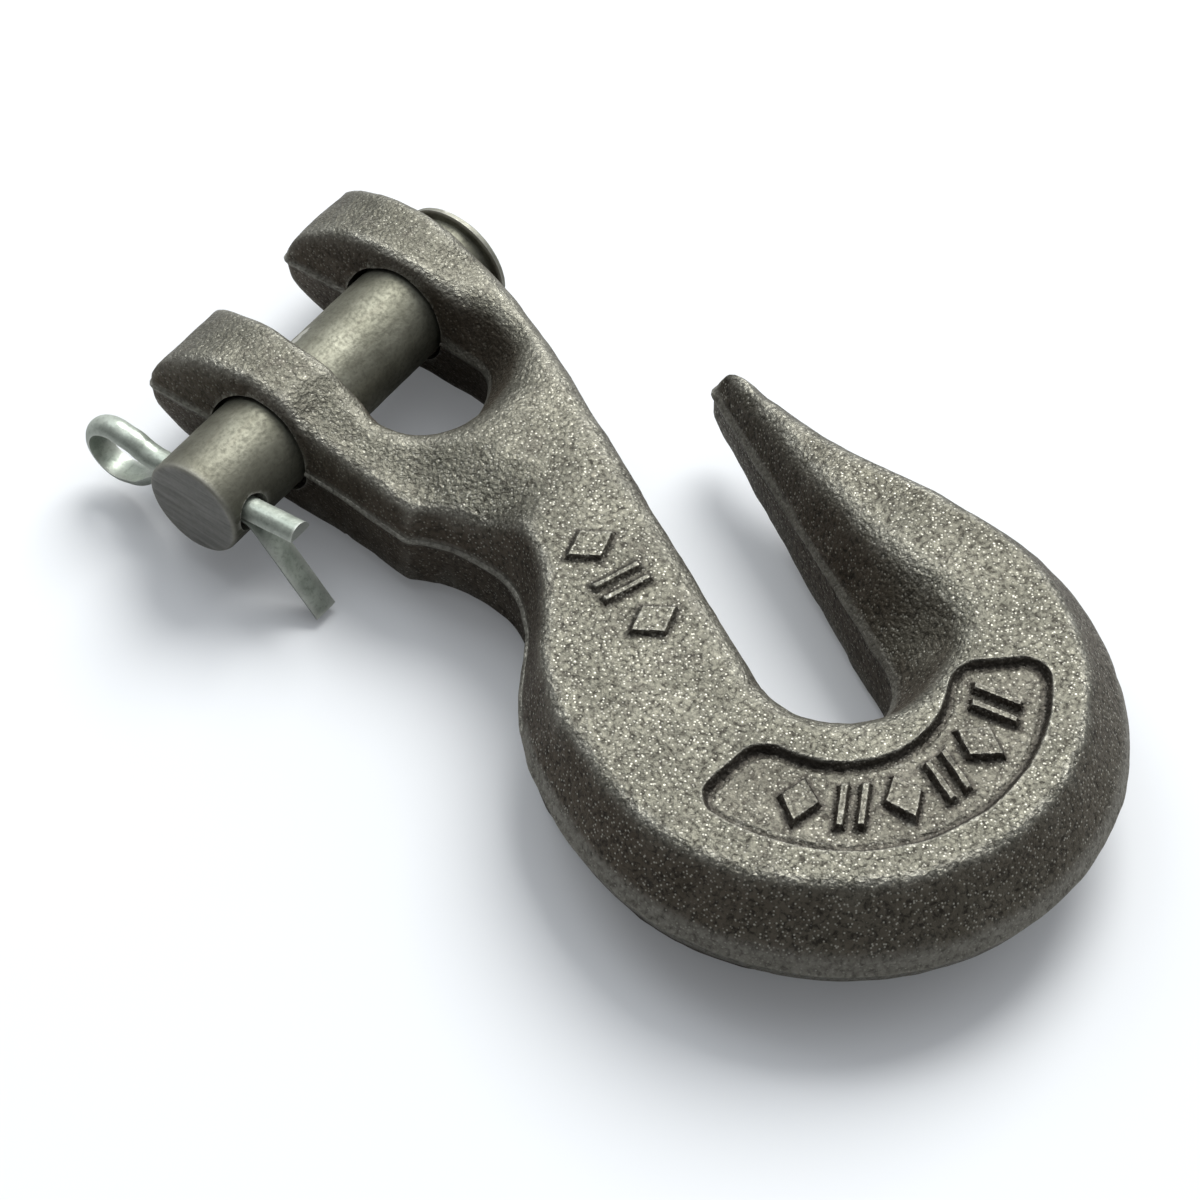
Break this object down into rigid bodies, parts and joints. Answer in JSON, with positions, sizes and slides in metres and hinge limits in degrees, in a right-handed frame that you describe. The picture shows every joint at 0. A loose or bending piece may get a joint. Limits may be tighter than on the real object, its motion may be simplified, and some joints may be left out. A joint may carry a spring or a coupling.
{
  "type": "clevis grab hook",
  "caption": "Drop-forged clevis grab hook with a narrow chain slot, a headed clevis pin through both ears and a bent split pin.",
  "frame": {"origin": "on the clevis pin's axis, at the centre of the pin's plain end face", "axes": "+X along the pin from its plain end to its head, +Y from the bowl towards the open end of the clevis, +Z normal to the plane of the hook"},
  "size_m": [0.0613, 0.1148, 0.0185],
  "materials": {
    "forged_steel": "as-forged, shot-blasted, grey-brown",
    "pin_steel": "dull greenish grey, lightly worn",
    "zinc_plate": "pale zinc plate"
  },
  "bodies": {
    "hook_body": {"hook_body": "forged_steel"},
    "clevis_pin": {"clevis_pin": "pin_steel"},
    "cotter_pin": {"cotter_pin": "zinc_plate"}
  },
  "joints": [
    {"name": "clevis_pin_spin", "type": "hinge", "parent": "hook_body", "child": "clevis_pin", "pos_m": [0.0272, 0, 0], "axis": [1, 0, 0], "continuous": true},
    {"name": "cotter_pin_play", "type": "slide", "parent": "clevis_pin", "child": "cotter_pin", "axis": [0, 0.9925, -0.1219], "range_m": [0, 0.0004]}
  ]
}
